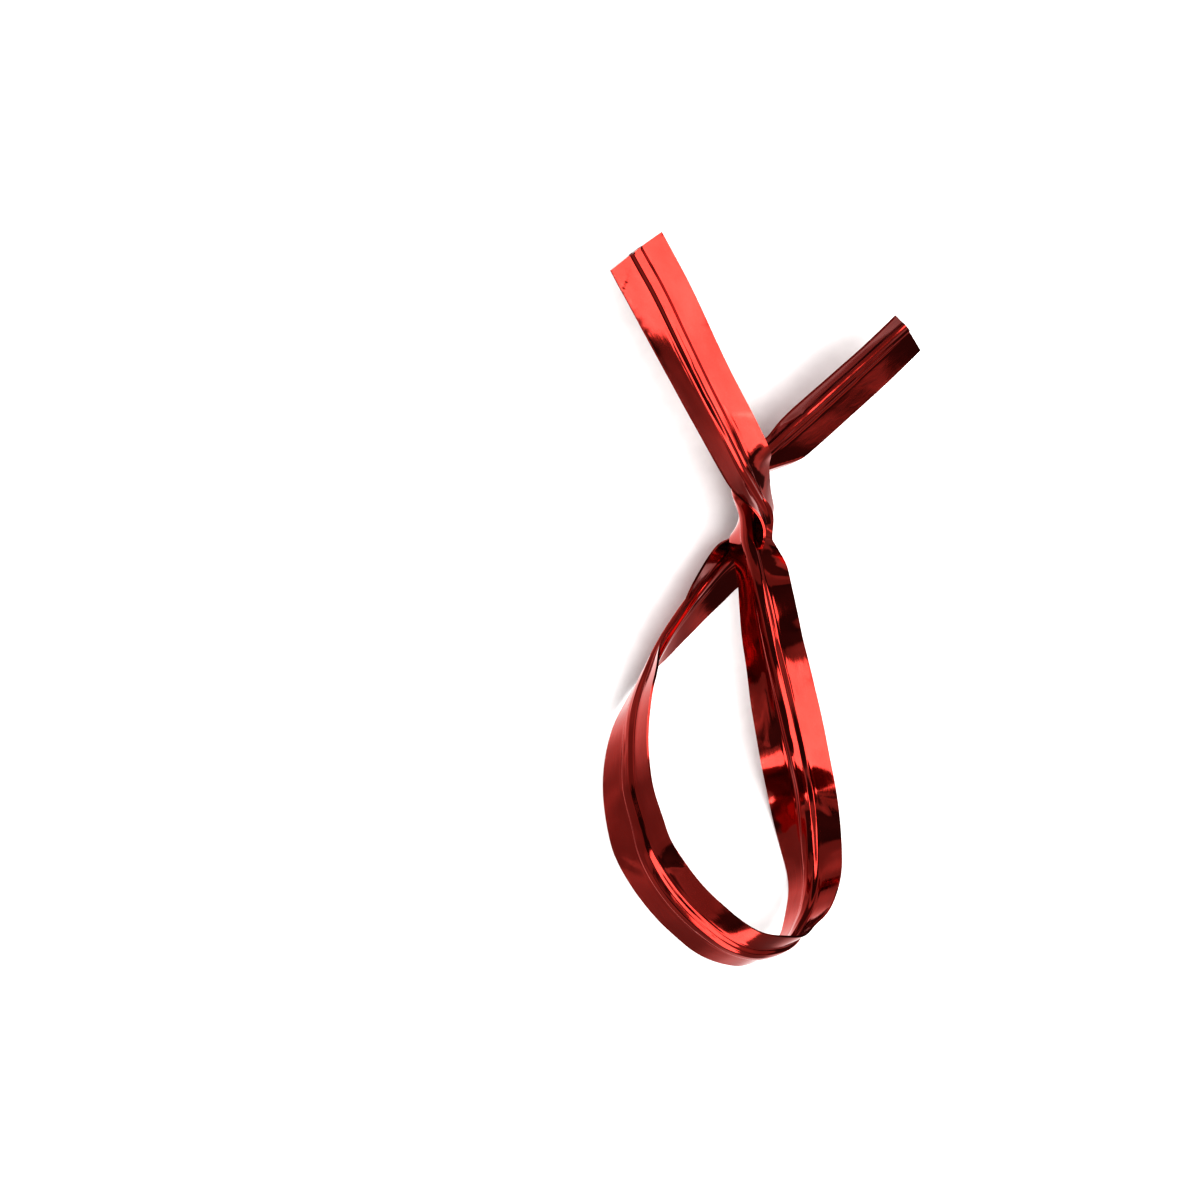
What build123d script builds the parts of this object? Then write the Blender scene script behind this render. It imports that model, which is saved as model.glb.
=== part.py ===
from build123d import *
import os

os.makedirs("parts", exist_ok=True)

# Metallic twist tie: two red metallised films laminated over a soft steel wire, bent into a
# teardrop loop with its two tails turned once round each other. Millimetres, +Z up, lying on
# the edges of its loop and of its right tail.

# driving dimensions
WING_A = 2.185        # wire axis to the outer (low) film edge
WING_B = 2.003        # wire axis to the inner (high) film edge
FILM = 0.06          # thickness of one film
ADHESIVE = 0.02      # laminating layer between the two films
RIDGE_BASE = 0.55    # half width of the ridge where it leaves the flat wing
RIDGE_TOP = 0.26     # half width of the ridge's crest
RIDGE_HEIGHT = 0.33  # crest above the strip's middle plane
WIRE_RADIUS = 0.21   # soft steel core wire, drawn with twelve flats

# the strip's course, one row per station from the left tail's cut end to the right tail's:
# wire axis (3), direction of travel (3), direction of wing A (3), direction of wing B (3)
STATIONS = [
    (-8.492, 21.2318, 4.2068, 0.47834, -0.87239, 0.10062, -0.85831, -0.44021, 0.26368, 0.86275, 0.44546, -0.23922),
    (-8.028, 20.3841, 4.3039, 0.47642, -0.87368, 0.09847, -0.86402, -0.44452, 0.23636, 0.8789, 0.47627, -0.02657),
    (-7.4257, 19.2671, 4.4238, 0.46708, -0.87982, 0.08803, -0.8715, -0.44125, 0.214, 0.85737, 0.47499, 0.19823),
    (-6.6254, 17.7049, 4.5543, 0.4423, -0.89488, 0.05965, -0.87453, -0.41557, 0.25, 0.86256, 0.44266, 0.24503),
    (-5.8557, 16.1244, 4.6443, 0.43707, -0.8982, 0.04687, -0.85361, -0.39782, 0.33628, 0.89497, 0.4395, 0.07664),
    (-5.0818, 14.5454, 4.7248, 0.44158, -0.89613, 0.04432, -0.83553, -0.39272, 0.38426, 0.89573, 0.44315, 0.03571),
    (-4.2907, 12.9746, 4.7971, 0.46147, -0.88637, 0.03731, -0.80614, -0.40141, 0.43475, 0.8811, 0.46282, 0.09725),
    (-3.4598, 11.4236, 4.842, 0.48132, -0.87655, -0.00061, -0.76274, -0.41917, 0.49247, 0.86486, 0.47479, 0.16307),
    (-3.3133, 11.1578, 4.8396, 0.48431, -0.87475, -0.01614, -0.7525, -0.42589, 0.50235, 0.8628, 0.47447, 0.1745),
    (-2.7185, 10.1025, 4.7713, 0.4955, -0.86247, -0.10312, -0.70026, -0.46687, 0.54006, 0.85625, 0.46504, 0.22489),
    (-2.598, 9.8936, 4.7437, 0.49735, -0.85853, -0.12478, -0.68748, -0.47775, 0.54693, 0.85534, 0.4612, 0.236),
    (-1.7162, 8.4094, 4.4073, 0.5028, -0.8298, -0.24212, -0.59334, -0.53501, 0.60142, 0.85927, 0.44934, 0.24445),
    (-1.4416, 7.9574, 4.2704, 0.50202, -0.82567, -0.25738, -0.55376, -0.53548, 0.63766, 0.86031, 0.50724, 0.05084),
    (-1.2894, 7.707, 4.1915, 0.50135, -0.82461, -0.26204, -0.51538, -0.52787, 0.67508, 0.82654, 0.546, -0.13682),
    (-1.0453, 7.3072, 4.0635, 0.50571, -0.82132, -0.26398, -0.43272, -0.50621, 0.74599, 0.74567, 0.57003, -0.34503),
    (-0.5069, 6.4694, 3.7938, 0.54277, -0.79909, -0.25856, -0.27649, -0.4607, 0.84339, 0.61652, 0.58814, -0.52345),
    (-0.3404, 6.2282, 3.7152, 0.55346, -0.79112, -0.2604, -0.25212, -0.45712, 0.85292, 0.57114, 0.58807, -0.57269),
    (0.059, 5.6536, 3.5143, 0.52693, -0.79423, -0.30255, -0.25649, -0.48799, 0.83432, 0.46404, 0.56709, -0.6805),
    (0.4177, 5.0153, 3.2322, 0.35717, -0.82957, -0.42924, -0.3478, -0.54462, 0.76317, 0.4167, 0.5528, -0.72165),
    (0.5473, 4.6159, 2.9993, 0.17107, -0.8227, -0.54213, -0.41552, -0.55915, 0.71742, 0.44474, 0.55547, -0.70261),
    (0.5782, 4.327, 2.7888, -0.00263, -0.77867, -0.62743, -0.44469, -0.56107, 0.69818, 0.47093, 0.55253, -0.6877),
    (0.5444, 4.0603, 2.5518, -0.18478, -0.70317, -0.68659, -0.42382, -0.57331, 0.70121, 0.46002, 0.55548, -0.69269),
    (0.4249, 3.7872, 2.2577, -0.38034, -0.59742, -0.70599, -0.30804, -0.63794, 0.70579, 0.35703, 0.60934, -0.70798),
    (0.2613, 3.5879, 2.0061, -0.52184, -0.5103, -0.68358, -0.13347, -0.74263, 0.65627, 0.18259, 0.71595, -0.67385),
    (0.1258, 3.4707, 1.8448, -0.59892, -0.46439, -0.65241, 0.011, -0.81938, 0.57314, 0.02929, 0.80144, -0.59736),
    (-0.0267, 3.3626, 1.6921, -0.662, -0.43477, -0.61051, 0.16531, -0.8792, 0.44686, -0.14024, 0.87203, -0.46894),
    (-0.1504, 3.2848, 1.5848, -0.70127, -0.42523, -0.57219, 0.27865, -0.90227, 0.32902, -0.26717, 0.90089, -0.34207),
    (-0.2806, 3.2078, 1.485, -0.73455, -0.42739, -0.52704, 0.38239, -0.90236, 0.19881, -0.38389, 0.90221, -0.1966),
    (-0.4163, 3.1293, 1.3942, -0.76202, -0.44152, -0.47369, 0.46999, -0.88032, 0.06447, -0.48125, 0.87558, -0.04194),
    (-0.5561, 3.0474, 1.3141, -0.78306, -0.46674, -0.41107, 0.53603, -0.84166, -0.06544, -0.55137, 0.82676, 0.11159),
    (-0.7468, 2.9298, 1.2265, -0.79905, -0.51248, -0.31447, 0.58629, -0.78011, -0.2184, -0.59566, 0.74595, 0.29789),
    (-0.9874, 2.7664, 1.1514, -0.79787, -0.5736, -0.18542, 0.59832, -0.71596, -0.35973, -0.58306, 0.65619, 0.47902),
    (-1.4564, 2.3917, 1.1061, -0.75257, -0.65836, 0.01428, 0.57317, -0.66556, -0.47803, -0.48654, 0.57052, 0.66165),
    (-2.6986, 1.1554, 1.2498, -0.68209, -0.72577, 0.08954, 0.58708, -0.61648, -0.52467, -0.3983, 0.47141, 0.78685),
    (-3.8799, -0.1395, 1.4098, -0.65409, -0.74911, 0.10489, 0.55188, -0.56744, -0.6111, -0.28748, 0.37446, 0.88155),
    (-4.9921, -1.4858, 1.628, -0.60581, -0.78251, 0.14374, 0.47985, -0.50347, -0.71851, -0.16448, 0.29994, 0.93967),
    (-5.9877, -2.9045, 1.9295, -0.52805, -0.8264, 0.19553, 0.33896, -0.41622, -0.84373, -0.20527, 0.34763, 0.91489),
    (-6.576, -3.8674, 2.1672, -0.49652, -0.84108, 0.21461, 0.15144, -0.32739, -0.93268, -0.10699, 0.30466, 0.94643),
    (-7.4192, -5.362, 2.5572, -0.43663, -0.86958, 0.23064, 0.00132, -0.25698, -0.96642, 0.06787, 0.2238, 0.97227),
    (-8.0549, -6.946, 2.9751, -0.26894, -0.93285, 0.23972, -0.14397, -0.20716, -0.96766, 0.1978, 0.19009, 0.96163),
    (-8.3609, -8.6268, 3.3879, -0.11487, -0.96536, 0.23428, -0.31995, -0.18732, -0.92873, 0.23448, 0.20283, 0.95073),
    (-8.5397, -10.3227, 3.8234, -0.06961, -0.96529, 0.25175, -0.42525, -0.19957, -0.8828, 0.31852, 0.21764, 0.92259),
    (-8.5087, -11.6189, 4.1225, 0.14184, -0.97259, 0.18424, -0.48145, -0.2304, -0.84565, 0.37307, 0.22492, 0.90013),
    (-8.1318, -13.3107, 4.4199, 0.19735, -0.95909, 0.20297, -0.6142, -0.28233, -0.73692, 0.41975, 0.26977, 0.86663),
    (-7.8619, -14.9881, 4.8659, 0.23838, -0.94603, 0.21955, -0.51306, -0.31462, -0.79861, 0.56612, 0.31905, 0.76007),
    (-7.5414, -15.8869, 5.0273, 0.40885, -0.90407, 0.12452, -0.42593, -0.30971, -0.8501, 0.69229, 0.39616, 0.60315),
    (-7.0233, -16.8407, 5.1348, 0.5345, -0.84148, 0.07884, -0.36347, -0.31308, -0.87743, 0.74531, 0.51328, 0.42551),
    (-5.9518, -18.2297, 5.2403, 0.67197, -0.73929, 0.04371, -0.31243, -0.3365, -0.88834, 0.67471, 0.63547, 0.37541),
    (-4.6692, -19.4306, 5.287, 0.78117, -0.62427, 0.00735, -0.27844, -0.35891, -0.89088, 0.54847, 0.69185, 0.46961),
    (-3.2238, -20.4306, 5.2502, 0.85933, -0.50869, -0.05286, -0.2841, -0.38886, -0.8764, 0.42753, 0.65778, 0.62011),
    (-1.9172, -21.048, 5.107, 0.93423, -0.32343, -0.15039, -0.26549, -0.34897, -0.89874, 0.32886, 0.61779, 0.71427),
    (-0.9951, -21.2733, 4.9206, 0.96283, -0.12919, -0.23719, -0.26779, -0.34213, -0.90069, 0.26726, 0.58258, 0.76758),
    (-0.125, -21.2936, 4.6681, 0.94648, 0.07726, -0.31337, -0.26728, -0.35665, -0.89519, 0.22311, 0.54499, 0.80821),
    (1.1006, -21.0451, 4.212, 0.88625, 0.28916, -0.36187, -0.27187, -0.30778, -0.91179, 0.23634, 0.38961, 0.89014),
    (1.7672, -20.7525, 3.9187, 0.79027, 0.47566, -0.3863, -0.26887, -0.29733, -0.91614, 0.25783, 0.31378, 0.91382),
    (2.1583, -20.4465, 3.7047, 0.64643, 0.64932, -0.40063, -0.25183, -0.31409, -0.91539, 0.23732, 0.32792, 0.91441),
    (2.9408, -19.3673, 3.1284, 0.48567, 0.78437, -0.38585, -0.23209, -0.30985, -0.92202, 0.40984, 0.18556, 0.89309),
    (3.4953, -18.2564, 2.6491, 0.31143, 0.89518, -0.31886, -0.27555, -0.23606, -0.93185, 0.53424, 0.11257, 0.83781),
    (3.7334, -17.1772, 2.3346, 0.12054, 0.96522, -0.23201, -0.26035, -0.1948, -0.94566, 0.69233, 0.08576, 0.71646),
    (3.8083, -16.1706, 2.125, 0.03144, 0.98385, -0.17623, -0.3237, -0.15679, -0.93308, 0.83294, 0.07167, 0.5487),
    (3.8086, -14.7907, 1.916, -0.02239, 0.99194, -0.1247, -0.51889, -0.11814, -0.84664, 0.9184, 0.06969, 0.38947),
    (3.7484, -13.5841, 1.8061, -0.08267, 0.99551, -0.04619, -0.69009, -0.09063, -0.71803, 0.91497, 0.09419, 0.39237),
    (3.6172, -12.565, 1.8392, -0.18267, 0.97343, 0.13806, -0.82084, -0.0737, -0.56639, 0.89073, 0.10441, 0.44237),
    (3.4663, -11.9381, 1.9938, -0.27241, 0.90282, 0.33274, -0.87812, -0.09192, -0.46953, 0.88195, 0.09605, 0.46145),
    (3.2389, -11.3253, 2.3053, -0.34588, 0.7886, 0.5084, -0.90597, -0.13974, -0.39961, 0.88463, 0.0935, 0.45681),
    (2.5816, -10.0465, 3.3177, -0.37819, 0.72219, 0.57916, -0.91062, -0.17763, -0.37313, 0.89943, 0.13858, 0.41452),
    (1.9519, -8.67, 4.2088, -0.33874, 0.83758, 0.42863, -0.87904, -0.1193, -0.46157, 0.92126, 0.20271, 0.33194),
    (1.3688, -7.1386, 4.8465, -0.32759, 0.89557, 0.30106, -0.80553, -0.09821, -0.58435, 0.92059, 0.23084, 0.31501),
    (0.8029, -5.529, 5.2743, -0.31384, 0.93041, 0.18929, -0.69193, -0.0876, -0.71663, 0.91326, 0.24128, 0.32823),
    (0.2706, -3.8708, 5.5231, -0.28795, 0.95321, 0.09204, -0.5489, -0.08553, -0.8315, 0.90996, 0.2424, 0.33647),
    (-0.1974, -2.1767, 5.6009, -0.23834, 0.97118, -0.0019, -0.45173, -0.11259, -0.88502, 0.88765, 0.21864, 0.40531),
    (-0.5707, -0.4596, 5.5149, -0.19483, 0.97664, -0.09065, -0.32482, -0.15145, -0.93357, 0.93179, 0.21315, 0.29383),
    (-0.6406, -0.1042, 5.4781, -0.18867, 0.97559, -0.11237, -0.29516, -0.16547, -0.94101, 0.91882, 0.21575, 0.33049),
    (-0.8245, 0.8988, 5.3235, -0.16695, 0.96731, -0.19088, -0.20787, -0.22377, -0.95221, 0.83887, 0.24109, 0.48803),
    (-0.9755, 1.831, 5.099, -0.14473, 0.95248, -0.26804, -0.12666, -0.28649, -0.94967, 0.69893, 0.29015, 0.65369),
    (-1.0923, 2.6353, 4.8512, -0.13128, 0.94104, -0.31179, -0.06188, -0.32167, -0.94483, 0.52113, 0.33306, 0.78581),
    (-1.177, 3.2612, 4.6348, -0.12042, 0.93451, -0.33495, -0.01592, -0.33918, -0.94059, 0.3291, 0.3559, 0.87466),
    (-1.2251, 3.7142, 4.4696, -0.05844, 0.93641, -0.34601, 0.00806, -0.34615, -0.93815, 0.11933, 0.35067, 0.92887),
    (-1.2286, 3.9967, 4.3647, 0.03935, 0.93603, -0.34971, 0.03313, -0.35101, -0.93579, -0.06787, 0.35168, 0.93366),
    (-1.2039, 4.2782, 4.2584, 0.11183, 0.92797, -0.35547, 0.10104, -0.36648, -0.92492, -0.2734, 0.37264, 0.88679),
    (-1.168, 4.558, 4.1482, 0.11429, 0.91984, -0.37529, 0.20831, -0.39155, -0.89627, -0.45232, 0.38452, 0.80471),
    (-1.1305, 4.9448, 3.9786, 0.0554, 0.90135, -0.42954, 0.36763, -0.41839, -0.83054, -0.62862, 0.36572, 0.68635),
    (-1.1407, 5.5228, 3.6529, -0.09275, 0.82747, -0.55379, 0.56144, -0.41587, -0.71543, -0.74622, 0.31046, 0.58887),
    (-1.2913, 6.2758, 3.0631, -0.15123, 0.76747, -0.62299, 0.60066, -0.42919, -0.67454, -0.62166, 0.41616, 0.66359),
    (-1.3083, 6.3693, 2.9882, -0.12711, 0.77895, -0.61406, 0.58905, -0.43881, -0.67858, -0.59679, 0.43443, 0.67462),
    (-1.3313, 6.7593, 2.7097, 0.05617, 0.84618, -0.52993, 0.52986, -0.47513, -0.7025, -0.52215, 0.4773, 0.70678),
    (-1.2891, 7.0154, 2.5664, 0.23372, 0.87322, -0.42762, 0.49766, -0.48526, -0.71893, -0.50362, 0.48492, 0.71499),
    (-1.1926, 7.2732, 2.4587, 0.41322, 0.86059, -0.29772, 0.4923, -0.48616, -0.72201, -0.51193, 0.48992, 0.70563),
    (-1.0144, 7.5726, 2.3792, 0.56797, 0.80872, -0.15291, 0.52445, -0.4988, -0.69004, -0.54425, 0.50841, 0.66732),
    (-0.5886, 8.0788, 2.3393, 0.689, 0.72466, 0.01224, 0.59824, -0.5591, -0.57404, -0.57707, 0.53829, 0.6142),
    (0.1509, 8.792, 2.4173, 0.73463, 0.66757, 0.12115, 0.63866, -0.62014, -0.45555, -0.49191, 0.40108, 0.77276),
    (1.451, 9.952, 2.667, 0.73546, 0.66155, 0.14647, 0.66752, -0.67032, -0.32417, -0.44932, 0.31437, 0.83623),
    (1.8968, 10.3541, 2.7563, 0.73351, 0.6634, 0.14784, 0.67162, -0.67406, -0.30754, -0.47323, 0.34235, 0.8117),
    (2.7847, 11.1616, 2.9396, 0.72862, 0.66706, 0.1554, 0.67829, -0.67126, -0.29889, -0.48982, 0.34889, 0.79897),
    (4.015, 12.3006, 3.2176, 0.71959, 0.67295, 0.17124, 0.68931, -0.66247, -0.29323, -0.50114, 0.33258, 0.79891),
    (5.2778, 13.4872, 3.5273, 0.71625, 0.67446, 0.1791, 0.69342, -0.65906, -0.29121, -0.49588, 0.31133, 0.81066),
    (6.5392, 14.6732, 3.8451, 0.71752, 0.67252, 0.18132, 0.6911, -0.6549, -0.30576, -0.48849, 0.30028, 0.81927),
    (7.8052, 15.854, 4.1641, 0.7206, 0.66927, 0.18111, 0.6827, -0.63931, -0.35384, -0.49779, 0.31757, 0.80707),
    (8.8997, 16.8686, 4.4389, 0.72159, 0.66823, 0.18101, 0.67242, -0.61423, -0.413, -0.51799, 0.34764, 0.78156),
]

# stations where one stretch of the strip ends and the next begins
LEFT_TAIL = (0, 8)
LEFT_BEND = (8, 9)
LEFT_CROWN = (9, 16)
LEFT_TWIST = (16, 34)
LOOP = (34, 72)
RIGHT_TWIST = (72, 83)
RIGHT_CROWN = (83, 92)
RIGHT_BEND = (92, 93)
RIGHT_TAIL = (93, 98)


def station(i):
    """Wire axis, travel, wing A, wing B and mean width direction at a station."""
    row = STATIONS[i]
    origin = Vector(*row[0:3])
    travel = Vector(*row[3:6]).normalized()
    wing_a = Vector(*row[6:9])
    wing_b = Vector(*row[9:12])
    wing_a = (wing_a - travel * wing_a.dot(travel)).normalized()
    wing_b = (wing_b - travel * wing_b.dot(travel)).normalized()
    across = (wing_b - wing_a).normalized()
    return origin, travel, wing_a, wing_b, across


def cut_plane(i):
    """Plane square to the strip at a station: X across the strip, Z along it."""
    origin, travel, wing_a, wing_b, across = station(i)
    return Plane(origin=origin, x_dir=across, z_dir=travel)


def film_profile(i, side):
    """Closed outline of one film: wing A, the ridge over the wire, wing B. side is +1 or -1."""
    origin, travel, wing_a, wing_b, across = station(i)
    up = travel.cross(across)

    def flat(direction):
        return (direction.dot(across), direction.dot(up))

    ax, ay = flat(wing_a)
    bx, by = flat(wing_b)
    nax, nay = ay, -ax      # wing A's own normal, on the front side
    nbx, nby = -by, bx      # wing B's own normal, on the front side
    inner = side * ADHESIVE / 2
    outer = side * (ADHESIVE / 2 + FILM)
    crest = side * RIDGE_HEIGHT
    under = side * (RIDGE_HEIGHT - FILM)

    def on_a(reach, lift):
        return (ax * reach + nax * lift, ay * reach + nay * lift)

    def on_b(reach, lift):
        return (bx * reach + nbx * lift, by * reach + nby * lift)

    return [
        on_a(WING_A, outer), on_a(RIDGE_BASE, outer),
        (-RIDGE_TOP, crest), (RIDGE_TOP, crest),
        on_b(RIDGE_BASE, outer), on_b(WING_B, outer),
        on_b(WING_B, inner), on_b(RIDGE_BASE - 0.05, inner),
        (RIDGE_TOP - 0.03, under), (-RIDGE_TOP + 0.03, under),
        on_a(RIDGE_BASE - 0.05, inner), on_a(WING_A, inner),
    ]


# left tail, from its cut end to the bend
with BuildPart() as left_tail_front_film:
    for i in range(LEFT_TAIL[0], LEFT_TAIL[1] + 1):
        with BuildSketch(cut_plane(i)):
            with BuildLine():
                Polyline(*film_profile(i, 1), close=True)
            make_face()
    loft(ruled=True)
left_tail_front_film.part.label = "left_tail_front_film"
export_step(left_tail_front_film.part, "parts/left_tail_front_film.step")

with BuildPart() as left_tail_back_film:
    for i in range(LEFT_TAIL[0], LEFT_TAIL[1] + 1):
        with BuildSketch(cut_plane(i)):
            with BuildLine():
                Polyline(*film_profile(i, -1), close=True)
            make_face()
    loft(ruled=True)
left_tail_back_film.part.label = "left_tail_back_film"
export_step(left_tail_back_film.part, "parts/left_tail_back_film.step")

with BuildPart() as left_tail_wire:
    for i in range(LEFT_TAIL[0], LEFT_TAIL[1] + 1):
        with BuildSketch(cut_plane(i)):
            RegularPolygon(radius=WIRE_RADIUS, side_count=12)
    loft(ruled=True)
left_tail_wire.part.label = "left_tail_wire"
export_step(left_tail_wire.part, "parts/left_tail_wire.step")


# short stretch that flexes when the left tail is bent
with BuildPart() as left_bend_front_film:
    for i in range(LEFT_BEND[0], LEFT_BEND[1] + 1):
        with BuildSketch(cut_plane(i)):
            with BuildLine():
                Polyline(*film_profile(i, 1), close=True)
            make_face()
    loft(ruled=True)
left_bend_front_film.part.label = "left_bend_front_film"
export_step(left_bend_front_film.part, "parts/left_bend_front_film.step")

with BuildPart() as left_bend_back_film:
    for i in range(LEFT_BEND[0], LEFT_BEND[1] + 1):
        with BuildSketch(cut_plane(i)):
            with BuildLine():
                Polyline(*film_profile(i, -1), close=True)
            make_face()
    loft(ruled=True)
left_bend_back_film.part.label = "left_bend_back_film"
export_step(left_bend_back_film.part, "parts/left_bend_back_film.step")

with BuildPart() as left_bend_wire:
    for i in range(LEFT_BEND[0], LEFT_BEND[1] + 1):
        with BuildSketch(cut_plane(i)):
            RegularPolygon(radius=WIRE_RADIUS, side_count=12)
    loft(ruled=True)
left_bend_wire.part.label = "left_bend_wire"
export_step(left_bend_wire.part, "parts/left_bend_wire.step")


# left strand where it passes over the right one
with BuildPart() as crown_left_front_film:
    for i in range(LEFT_CROWN[0], LEFT_CROWN[1] + 1):
        with BuildSketch(cut_plane(i)):
            with BuildLine():
                Polyline(*film_profile(i, 1), close=True)
            make_face()
    loft(ruled=True)
crown_left_front_film.part.label = "crown_left_front_film"
export_step(crown_left_front_film.part, "parts/crown_left_front_film.step")

with BuildPart() as crown_left_back_film:
    for i in range(LEFT_CROWN[0], LEFT_CROWN[1] + 1):
        with BuildSketch(cut_plane(i)):
            with BuildLine():
                Polyline(*film_profile(i, -1), close=True)
            make_face()
    loft(ruled=True)
crown_left_back_film.part.label = "crown_left_back_film"
export_step(crown_left_back_film.part, "parts/crown_left_back_film.step")

with BuildPart() as crown_left_wire:
    for i in range(LEFT_CROWN[0], LEFT_CROWN[1] + 1):
        with BuildSketch(cut_plane(i)):
            RegularPolygon(radius=WIRE_RADIUS, side_count=12)
    loft(ruled=True)
crown_left_wire.part.label = "crown_left_wire"
export_step(crown_left_wire.part, "parts/crown_left_wire.step")


# left strand round the back of the twist and down the neck
with BuildPart() as twist_left_front_film:
    for i in range(LEFT_TWIST[0], LEFT_TWIST[1] + 1):
        with BuildSketch(cut_plane(i)):
            with BuildLine():
                Polyline(*film_profile(i, 1), close=True)
            make_face()
    loft(ruled=True)
twist_left_front_film.part.label = "twist_left_front_film"
export_step(twist_left_front_film.part, "parts/twist_left_front_film.step")

with BuildPart() as twist_left_back_film:
    for i in range(LEFT_TWIST[0], LEFT_TWIST[1] + 1):
        with BuildSketch(cut_plane(i)):
            with BuildLine():
                Polyline(*film_profile(i, -1), close=True)
            make_face()
    loft(ruled=True)
twist_left_back_film.part.label = "twist_left_back_film"
export_step(twist_left_back_film.part, "parts/twist_left_back_film.step")

with BuildPart() as twist_left_wire:
    for i in range(LEFT_TWIST[0], LEFT_TWIST[1] + 1):
        with BuildSketch(cut_plane(i)):
            RegularPolygon(radius=WIRE_RADIUS, side_count=12)
    loft(ruled=True)
twist_left_wire.part.label = "twist_left_wire"
export_step(twist_left_wire.part, "parts/twist_left_wire.step")


# teardrop loop
with BuildPart() as loop_front_film:
    for i in range(LOOP[0], LOOP[1] + 1):
        with BuildSketch(cut_plane(i)):
            with BuildLine():
                Polyline(*film_profile(i, 1), close=True)
            make_face()
    loft(ruled=True)
loop_front_film.part.label = "loop_front_film"
export_step(loop_front_film.part, "parts/loop_front_film.step")

with BuildPart() as loop_back_film:
    for i in range(LOOP[0], LOOP[1] + 1):
        with BuildSketch(cut_plane(i)):
            with BuildLine():
                Polyline(*film_profile(i, -1), close=True)
            make_face()
    loft(ruled=True)
loop_back_film.part.label = "loop_back_film"
export_step(loop_back_film.part, "parts/loop_back_film.step")

with BuildPart() as loop_wire:
    for i in range(LOOP[0], LOOP[1] + 1):
        with BuildSketch(cut_plane(i)):
            RegularPolygon(radius=WIRE_RADIUS, side_count=12)
    loft(ruled=True)
loop_wire.part.label = "loop_wire"
export_step(loop_wire.part, "parts/loop_wire.step")


# right strand up the front of the twist
with BuildPart() as twist_right_front_film:
    for i in range(RIGHT_TWIST[0], RIGHT_TWIST[1] + 1):
        with BuildSketch(cut_plane(i)):
            with BuildLine():
                Polyline(*film_profile(i, 1), close=True)
            make_face()
    loft(ruled=True)
twist_right_front_film.part.label = "twist_right_front_film"
export_step(twist_right_front_film.part, "parts/twist_right_front_film.step")

with BuildPart() as twist_right_back_film:
    for i in range(RIGHT_TWIST[0], RIGHT_TWIST[1] + 1):
        with BuildSketch(cut_plane(i)):
            with BuildLine():
                Polyline(*film_profile(i, -1), close=True)
            make_face()
    loft(ruled=True)
twist_right_back_film.part.label = "twist_right_back_film"
export_step(twist_right_back_film.part, "parts/twist_right_back_film.step")

with BuildPart() as twist_right_wire:
    for i in range(RIGHT_TWIST[0], RIGHT_TWIST[1] + 1):
        with BuildSketch(cut_plane(i)):
            RegularPolygon(radius=WIRE_RADIUS, side_count=12)
    loft(ruled=True)
twist_right_wire.part.label = "twist_right_wire"
export_step(twist_right_wire.part, "parts/twist_right_wire.step")


# right strand behind the left one
with BuildPart() as crown_right_front_film:
    for i in range(RIGHT_CROWN[0], RIGHT_CROWN[1] + 1):
        with BuildSketch(cut_plane(i)):
            with BuildLine():
                Polyline(*film_profile(i, 1), close=True)
            make_face()
    loft(ruled=True)
crown_right_front_film.part.label = "crown_right_front_film"
export_step(crown_right_front_film.part, "parts/crown_right_front_film.step")

with BuildPart() as crown_right_back_film:
    for i in range(RIGHT_CROWN[0], RIGHT_CROWN[1] + 1):
        with BuildSketch(cut_plane(i)):
            with BuildLine():
                Polyline(*film_profile(i, -1), close=True)
            make_face()
    loft(ruled=True)
crown_right_back_film.part.label = "crown_right_back_film"
export_step(crown_right_back_film.part, "parts/crown_right_back_film.step")

with BuildPart() as crown_right_wire:
    for i in range(RIGHT_CROWN[0], RIGHT_CROWN[1] + 1):
        with BuildSketch(cut_plane(i)):
            RegularPolygon(radius=WIRE_RADIUS, side_count=12)
    loft(ruled=True)
crown_right_wire.part.label = "crown_right_wire"
export_step(crown_right_wire.part, "parts/crown_right_wire.step")


# short stretch that flexes when the right tail is bent
with BuildPart() as right_bend_front_film:
    for i in range(RIGHT_BEND[0], RIGHT_BEND[1] + 1):
        with BuildSketch(cut_plane(i)):
            with BuildLine():
                Polyline(*film_profile(i, 1), close=True)
            make_face()
    loft(ruled=True)
right_bend_front_film.part.label = "right_bend_front_film"
export_step(right_bend_front_film.part, "parts/right_bend_front_film.step")

with BuildPart() as right_bend_back_film:
    for i in range(RIGHT_BEND[0], RIGHT_BEND[1] + 1):
        with BuildSketch(cut_plane(i)):
            with BuildLine():
                Polyline(*film_profile(i, -1), close=True)
            make_face()
    loft(ruled=True)
right_bend_back_film.part.label = "right_bend_back_film"
export_step(right_bend_back_film.part, "parts/right_bend_back_film.step")

with BuildPart() as right_bend_wire:
    for i in range(RIGHT_BEND[0], RIGHT_BEND[1] + 1):
        with BuildSketch(cut_plane(i)):
            RegularPolygon(radius=WIRE_RADIUS, side_count=12)
    loft(ruled=True)
right_bend_wire.part.label = "right_bend_wire"
export_step(right_bend_wire.part, "parts/right_bend_wire.step")


# right tail, from the bend to its cut end
with BuildPart() as right_tail_front_film:
    for i in range(RIGHT_TAIL[0], RIGHT_TAIL[1] + 1):
        with BuildSketch(cut_plane(i)):
            with BuildLine():
                Polyline(*film_profile(i, 1), close=True)
            make_face()
    loft(ruled=True)
right_tail_front_film.part.label = "right_tail_front_film"
export_step(right_tail_front_film.part, "parts/right_tail_front_film.step")

with BuildPart() as right_tail_back_film:
    for i in range(RIGHT_TAIL[0], RIGHT_TAIL[1] + 1):
        with BuildSketch(cut_plane(i)):
            with BuildLine():
                Polyline(*film_profile(i, -1), close=True)
            make_face()
    loft(ruled=True)
right_tail_back_film.part.label = "right_tail_back_film"
export_step(right_tail_back_film.part, "parts/right_tail_back_film.step")

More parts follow.
